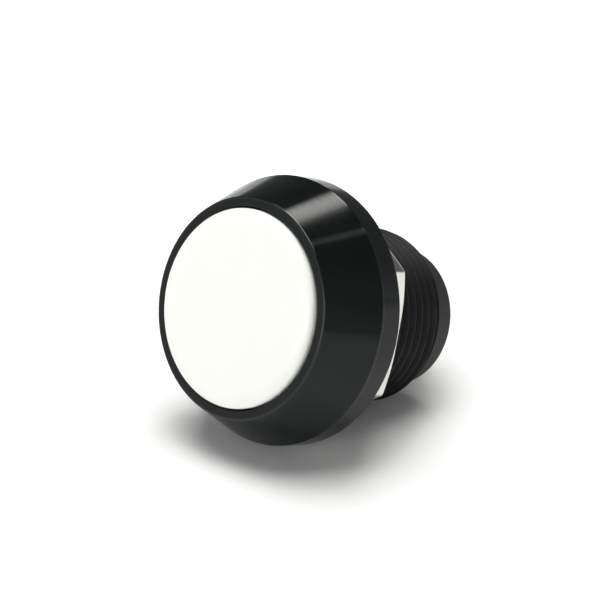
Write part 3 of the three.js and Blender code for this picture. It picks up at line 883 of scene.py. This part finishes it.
# ------------------------------------------------------------------ base, resin, blades
BASE_PROFILE = [
    (0, 7.4, 0),
    (1.25, 7.4, 0.1),
    (1.25, 6.35, 0.08),
    (4.6, 6.35, 0.15),
    (4.6, 8.65, 0.03),
    (4.8, 8.65, 0.05),
    (4.8, 11.0, 0.16),
    (4.05, 11.0, 0.08),
    (4.05, 9.8, 0.10),
    (0, 9.8, 0),
]

# a cast surface that climbs the wall of the base's well by surface tension
RESIN_PROFILE = [
    (0, 9.84, 0),
    (4.0, 9.84, 0.08),
    (4.0, 10.7, 0.05),
    (3.8, 10.64, 0.25),
    (3.35, 10.57, 0.4),
    (0, 10.555, 0),
]
# how high it climbs the blades, and over what distance that fades
RESIN_CLIMB, RESIN_CLIMB_REACH = 0.10, 0.16


def cut_blade_slots(obj, y_range, grow, tag):
    """Cuts a slot round each blade, grow wider on every side."""
    half_width, half_thick = BLADE_HALF_WIDTH + grow, BLADE_HALF_THICK + grow
    cutters = []
    for side in (1, -1):
        x_range = (-half_width, half_width)
        z_range = (side * BLADE_Z - half_thick, side * BLADE_Z + half_thick)
        cutters.append(block(f"{tag}{side}", x_range, y_range, z_range, 0.04))
    boolean(obj, "DIFFERENCE", *cutters)


def build_base():
    obj = turned("rear_base", BASE_PROFILE, n=168, steps=7)
    cut_blade_slots(obj, (5.5, 12.0), grow=0.05, tag="slot")
    smooth_by_angle(obj, 35)
    dress(obj, "root", "black_plastic", "terminal_base")


def build_resin():
    obj = turned("rear_resin", RESIN_PROFILE, n=168, longest=0.12)
    for v in obj.data.vertices:
        p = v.co / MM - Vector((0, SEAT_Y, 0))
        if p.y > 10.4 and math.hypot(p.x, p.z) < 3.85:
            lift = 0
            for side in (1, -1):
                dx = max(0, abs(p.x) - BLADE_HALF_WIDTH)
                dz = max(0, abs(p.z - side * BLADE_Z) - BLADE_HALF_THICK)
                lift += RESIN_CLIMB * math.exp(-((dx * dx + dz * dz) ** 0.5) / RESIN_CLIMB_REACH)
            v.co.y += lift * MM
    cut_blade_slots(obj, (9.5, 11.5), grow=0.012, tag="rcut")
    smooth_by_angle(obj, 40)
    dress(obj, "root", "sealing_resin", "epoxy_seal")


def build_blade(place):
    node = f"terminal_{place}"
    obj = rounded_copy(f"blade_{place}", node, 0.06)
    obj.modifiers.new("normals", "WEIGHTED_NORMAL").keep_sharp = True
    dress(obj, "root", "tinned_brass", node)


# ------------------------------------------------------------------ springs
def coil(name, radius, wire, y_range, turns, per_turn, around):
    """A coil spring swept as one tube, with flat end coils. wire is the wire's radius."""
    y0, y1 = y_range
    n = int(turns * per_turn)
    t = np.linspace(0, 1, n + 1)
    a = 2 * math.pi * turns * t
    flat = 0.5 / turns
    s = np.clip((t - flat) / (1 - 2 * flat), 0, 1)
    rise = s - 0.25 * np.sin(2 * np.pi * s) / (2 * np.pi)
    y = (y0 + wire) + (y1 - y0 - 2 * wire) * rise
    centre = np.stack([radius * np.sin(a), y, radius * np.cos(a)], 1)
    tangent = np.gradient(centre, axis=0)
    tangent /= np.linalg.norm(tangent, axis=1)[:, None]
    radial = np.stack([np.sin(a), 0 * a, np.cos(a)], 1)
    radial -= (radial * tangent).sum(1)[:, None] * tangent
    radial /= np.linalg.norm(radial, axis=1)[:, None]
    other = np.cross(tangent, radial)
    verts, faces = [], []

    def section(i, scale=1.0, push=0.0):
        """Adds a ring round the wire, pushed along it, and returns its vertex numbers."""
        first = len(verts)
        middle = centre[i] + push * wire * tangent[i]
        for k in full_turn(around):
            verts.append(middle + scale * wire * (math.cos(k) * radial[i] + math.sin(k) * other[i]))
        return list(range(first, first + around))

    def bridge(ring, following):
        for k in range(around):
            j = (k + 1) % around
            faces.append([ring[k], ring[j], following[j], following[k]])

    sections = [section(i) for i in range(n + 1)]
    for ring, following in zip(sections, sections[1:]):
        bridge(ring, following)
    # domed ends
    for i, sign in ((0, -1), (n, 1)):
        middle = section(i, scale=0.72, push=sign * 0.275)
        tip = section(i, scale=0.35, push=sign * 0.425)
        bridge(sections[i], middle)
        bridge(middle, tip)
        faces.append(tip)
    return make_object(name, np.array(verts), faces)


def build_return_spring():
    obj = coil("return_coil", 4.0, 0.14, (-4.32, -1.33), turns=3.5, per_turn=48, around=14)
    dress(obj, "root", "spring_steel", "return_spring")
    anchor = tuple(to_frame((0, WELL_FLOOR_Y, 0)))
    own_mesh(obj)


def build_contact_spring():
    obj = coil("contact_coil", 1.32, 0.1, (2.62, 3.88), turns=3, per_turn=36, around=10)
    dress(obj, "button", "spring_steel", "contact_spring")
    anchor = tuple(to_frame((0, PLUNGER_FLANGE_Y[1], 0)))
    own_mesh(obj)


# ------------------------------------------------------------------ inside pieces
PLUNGER_PROFILE = [
    (0, -4.2, 0),
    (1.2, -4.2, 0.12),
    (1.2, -3.1, 0.04),
    (2.0, -3.1, 0.10),
    (2.0, PLUNGER_FLANGE_Y[0], 0.06),
    (3.2, PLUNGER_FLANGE_Y[0], 0.08),
    (3.2, PLUNGER_FLANGE_Y[1], 0.08),
    (0.9, PLUNGER_FLANGE_Y[1], 0.06),
    (0.9, 4.23, 0.03),
    (0.6, 4.23, 0.03),
    (0.6, 4.53, 0.03),
    (0.9, 4.53, 0.03),
    (0.9, 4.9, 0.15),
    (0, 4.9, 0),
]
BUSH_PROFILE = [(2.08, 0.6, 0.06), (4.65, 0.6, 0.15), (4.65, 1.7, 0.15), (2.08, 1.7, 0.14)]
SLEEVE_PROFILE = [(3.9, 1.75, 0.08), (4.65, 1.75, 0.10), (4.65, 6.2, 0.10), (3.9, 6.2, 0.08)]
TRENCH_PROFILE = [(0, 1.2, 0), (4.3, 1.2, 0.02), (4.3, 5.2, 0.06), (0, 5.2, 0)]
MOVING_CONTACT_PROFILE = [
    (0, 4.22, 0),
    (0.65, 4.22, 0.02),
    (0.65, 4.36, 0.06),
    (0.42, 4.43, 0.2),
    (0, 4.45, 0),
]
FIXED_CONTACT_PROFILE = [
    (0, 5.68, 0),
    (0.45, 5.69, 0.3),
    (0.75, 5.76, 0.06),
    (0.75, 5.88, 0.02),
    (0, 5.88, 0),
]


def build_plunger():
    obj = turned("plunger_core", PLUNGER_PROFILE, n=96, steps=5)
    lugs = block("plunger_lugs", (-4.18, 4.18), PLUNGER_FLANGE_Y, (-0.55, 0.55), 0.15)
    boolean(obj, "UNION", lugs)
    smooth_by_angle(obj, 35)
    obj.name = "press_plunger"
    dress(obj, "button", "black_plastic", "plunger")


def build_stem_seal():
    radius, y, cord_r = 2.47, 0.12, 0.385
    rings = Rings(full_turn(96))
    for a in full_turn(20):
        c, s = math.cos(a), math.sin(a)
        rings.add(radius + cord_r * c, y + cord_r * s, nr=c, ny=s)
    dress(rings.build("stem_seal"), "root", "seal_rubber", "stem_o_ring")


def build_bush():
    dress(turned("stem_bush", BUSH_PROFILE, n=120), "root", "black_plastic", "guide_bush")


def build_sleeve():
    """A sleeve with a trench cut inside its wall for each of the plunger's lugs."""
    sleeve = turned("slotted_sleeve", SLEEVE_PROFILE, n=144, longest=1.5)
    trench = turned("trench", TRENCH_PROFILE, n=144, longest=9)
    bar = block("bar", (-5, 5), (1.0, 5.4), (-0.65, 0.65))
    boolean(trench, "INTERSECT", bar)
    boolean(sleeve, "DIFFERENCE", trench)
    smooth_by_angle(sleeve, 35)
    dress(sleeve, "root", "black_plastic", "insulating_sleeve")


def build_bridge_and_clip():
    bridge = rounded_copy("moving_bridge", "contact_bridge", 0.05)
    dress(bridge, "bridge", "spring_bronze", "contact_bridge")
    clip = rounded_copy("tail_clip", "bridge_clip", 0.03, segments=2)
    dress(clip, "button", "spring_steel", "bridge_clip")


def build_contact(name, profile, side, body, node):
    obj = turned(name, profile, n=64, longest=0.12)
    obj.data.transform(Matrix.Translation((0, 0, side * CONTACT_Z * MM)))
    dress(obj, body, "contact_silver", node)


build_housing()
build_nut()
build_cap()
build_panel_seal()
build_washer()
build_base()
build_resin()
build_blade("upper")
build_blade("lower")
build_return_spring()
build_contact_spring()
build_plunger()
build_stem_seal()
build_bush()
build_sleeve()
build_bridge_and_clip()
for z_side, place in ((1, "upper"), (-1, "lower")):
    build_contact(
        f"moving_contact_{place}", MOVING_CONTACT_PROFILE, z_side, "bridge",
        f"bridge_contact_{place}",
    )
    build_contact(
        f"seat_contact_{place}", FIXED_CONTACT_PROFILE, z_side, "root", f"fixed_contact_{place}"
    )

# ------------------------------------------------------------------ stage directions
# The button lies on its flange's rim and the end of its barrel, so the floor is tilted in the
# part's own frame. Lengths in the rest of the script are metres, except inside to_frame().
RIM_REST_Y, BARREL_REST_Y = -0.1, 7.969  # where the rim and the barrel touch the floor, mm
TILT = math.atan2(BEZEL_R - THREAD_R, BARREL_REST_Y - RIM_REST_Y)
UP = Vector((0, -math.sin(TILT), math.cos(TILT)))
REST = Vector(to_frame((0, RIM_REST_Y, -BEZEL_R))) - UP * 0.00002

# the camera's axes, and the directions away from it and to its right along the floor
RIGHT = Vector((0.729948, 0.64645, 0.221988)).normalized()
FORWARD = Vector((-0.630398, 0.762254, -0.146858)).normalized()
AHEAD = (FORWARD - UP * FORWARD.dot(UP)).normalized()
SIDE = AHEAD.cross(UP).normalized()

AIM = Vector(to_frame((0, 1.5, 0)))  # what the lights are set out around
BACKDROP = 1.05  # the pale backdrop's radiance, as the camera sees it


def placement(x, y, z, location):
    """World matrix of an object with the given axes."""
    matrix = Matrix((x, y, z)).transposed().to_4x4()
    matrix.translation = location
    return matrix


# ------------------------------------------------------------------ camera
def build_camera():
    camera = bpy.data.objects.new("camera", bpy.data.cameras.new("camera"))
    camera.data.sensor_width = 36
    camera.data.lens = 108
    focus = bpy.data.objects.new("focus", None)
    focus.location = Vector(to_frame((0, -2.5, 0)))
    scene.collection.objects.link(focus)
    camera.data.dof.use_dof = True
    camera.data.dof.focus_object = focus
    camera.data.dof.aperture_fstop = 105
    camera.data.clip_start = 0.005
    camera.data.clip_end = 20
    location = Vector(to_frame((74.2688, -89.3846, 18.047)))
    camera_up = RIGHT.cross(FORWARD).normalized()
    camera.matrix_world = placement(RIGHT, camera_up, -FORWARD, location)
    scene.collection.objects.link(camera)
    scene.camera = camera


build_camera()


# ------------------------------------------------------------------ floor
def floor_paper():
    m = Mat("floor_paper")
    dark, light = (0.90, 0.90, 0.90), (0.925, 0.925, 0.925)
    m.set(
        Base_Color=m.mix(m.noise(m.mm, scale=0.8, detail=4), dark, light),
        Roughness=0.75,
        IOR=1.35,
    )
    # away from the button the paper runs out into the pale backdrop, which also lifts its
    # shadow a little for the camera
    far = m.vec("LENGTH", m.vec("SUBTRACT", m.position, tuple(REST)))
    share = m.remap(far, span=(0.045, 0.14), to=(0.03, 1.0), smooth=True)
    share = m.times(share, m.node("LightPath").outputs["Is Camera Ray"])
    backdrop = m.fill(m.node("Emission"), Strength=BACKDROP)
    blend = m.node("MixShader", share, m.bsdf.outputs[0], backdrop.outputs[0])
    m.feed(m.out.inputs["Surface"], blend.outputs[0])
    return m.material


def build_floor():
    half_size, n = 6.0, 24
    mesh = bpy.data.meshes.new("floor")
    bm = bmesh.new()
    steps = [half_size * (2 * i / n - 1) for i in range(n + 1)]
    grid = [[bm.verts.new(REST + AHEAD * u + SIDE * v) for v in steps] for u in steps]
    for i in range(n):
        for j in range(n):
            bm.faces.new((grid[i][j], grid[i + 1][j], grid[i + 1][j + 1], grid[i][j + 1]))
    # the faces come out looking down
    bmesh.ops.reverse_faces(bm, faces=bm.faces)
    bm.to_mesh(mesh)
    bm.free()
    obj = bpy.data.objects.new("floor", mesh)
    scene.collection.objects.link(obj)
    obj.data.materials.append(floor_paper())


build_floor()


# ------------------------------------------------------------------ lights
def direction(azimuth, elevation):
    """Away from the object: azimuth 0 is away from the camera, 90 to the camera's right."""
    a, e = math.radians(azimuth), math.radians(elevation)
    return (AHEAD * math.cos(a) + SIDE * math.sin(a)) * math.cos(e) + UP * math.sin(e)


def softbox(name, centre, facing, width, depth, radiance, color=(1, 1, 1)):
    """A rectangular soft light of a given radiance, its width along SIDE."""
    light = bpy.data.lights.new(name, "AREA")
    light.shape = "RECTANGLE"
    light.size, light.size_y = width, depth
    light.energy = radiance * math.pi * width * depth
    light.color = color
    z = -facing.normalized()
    x = (SIDE - z * SIDE.dot(z)).normalized()
    obj = bpy.data.objects.new(name, light)
    obj.matrix_world = placement(x, z.cross(x), z, centre)
    scene.collection.objects.link(obj)


def overhead(name, across, away, radiance):
    """A level softbox above the button.

    across runs to the camera's right and away from the camera, both as shares of the height.
    """
    height = 0.55
    (u0, u1), (v0, v1) = across, away
    centre = AIM + (UP + SIDE * (0.5 * (u0 + u1)) + AHEAD * (0.5 * (v0 + v1))) * height
    width, depth = (u1 - u0) * height, (v1 - v0) * height
    softbox(name, centre, -UP, width, depth, radiance, color=(0.992, 1.0, 0.972))


# a large softbox overhead with a wing beyond the button, a faint strip on the right, and a wide
# weak fill from the left, on the camera's side
overhead("overhead_softbox", across=(-0.46, 0.335), away=(-0.35, 0.54), radiance=3.35)
overhead("overhead_wing", across=(0.13, 0.345), away=(0.54, 0.88), radiance=4.1)
overhead("right_strip", across=(0.56, 0.60), away=(0.08, 0.20), radiance=2.0)
fill_way = direction(azimuth=-145, elevation=16)
softbox("front_fill", AIM + fill_way * 0.6, -fill_way, width=0.66, depth=0.26, radiance=1.3)


# ------------------------------------------------------------------ world
def build_world():
    world = bpy.data.worlds.new("studio")
    scene.world = world
    world.use_nodes = True
    g = Graph(world.node_tree)
    way = g.node("TexCoord").outputs["Generated"]
    height, right, ahead = (g.vec("DOT_PRODUCT", way, tuple(v)) for v in (UP, SIDE, AHEAD))
    # the surroundings by quarter of the horizon: direction, its sign, the heights between which
    # the radiance changes, and the radiance below and above them
    quarters = (
        (ahead, 1.0, (0.035, 0.10), (0.90, 0.09)),
        (right, 1.0, (-0.05, 0.34), (0.42, 0.20)),
        (right, -1.0, (0.00, 0.40), (0.60, 0.36)),
        (ahead, -1.0, (0.00, 0.50), (0.28, 0.24)),
    )
    total = 0.01
    for toward, sign, heights, radiance in quarters:
        part = g.math("MAXIMUM", g.times(toward, sign), 0.0)
        glow = g.remap(height, heights, radiance, smooth=True)
        total = g.add(total, g.times(g.times(part, part), glow))
    white = (1, 1, 1, 1)
    seen = g.node("Background", white, BACKDROP)
    lit = g.node("Background", white, total)
    camera_ray = g.node("LightPath").outputs["Is Camera Ray"]
    mixer = g.node("MixShader", camera_ray, lit.outputs[0], seen.outputs[0])
    g.node("OutputWorld", mixer.outputs[0])


build_world()


# ------------------------------------------------------------------ view
def set_view():
    view = scene.view_settings
    view.view_transform = "Standard"
    view.look = "None"
    view.exposure = 0.0
    view.gamma = 1.0
    # a print curve: dark tones as they are, light tones lifted to paper white
    view.use_curve_mapping = True
    tone = view.curve_mapping
    tone.use_clip = True
    curve = tone.curves[3]
    for x, y in ((0.03, 0.028), (0.10, 0.103), (0.20, 0.245), (0.35, 0.50), (0.50, 0.80)):
        curve.points.new(x, y)
    curve.points[-1].location = (0.62, 1.0)
    tone.update()


set_view()
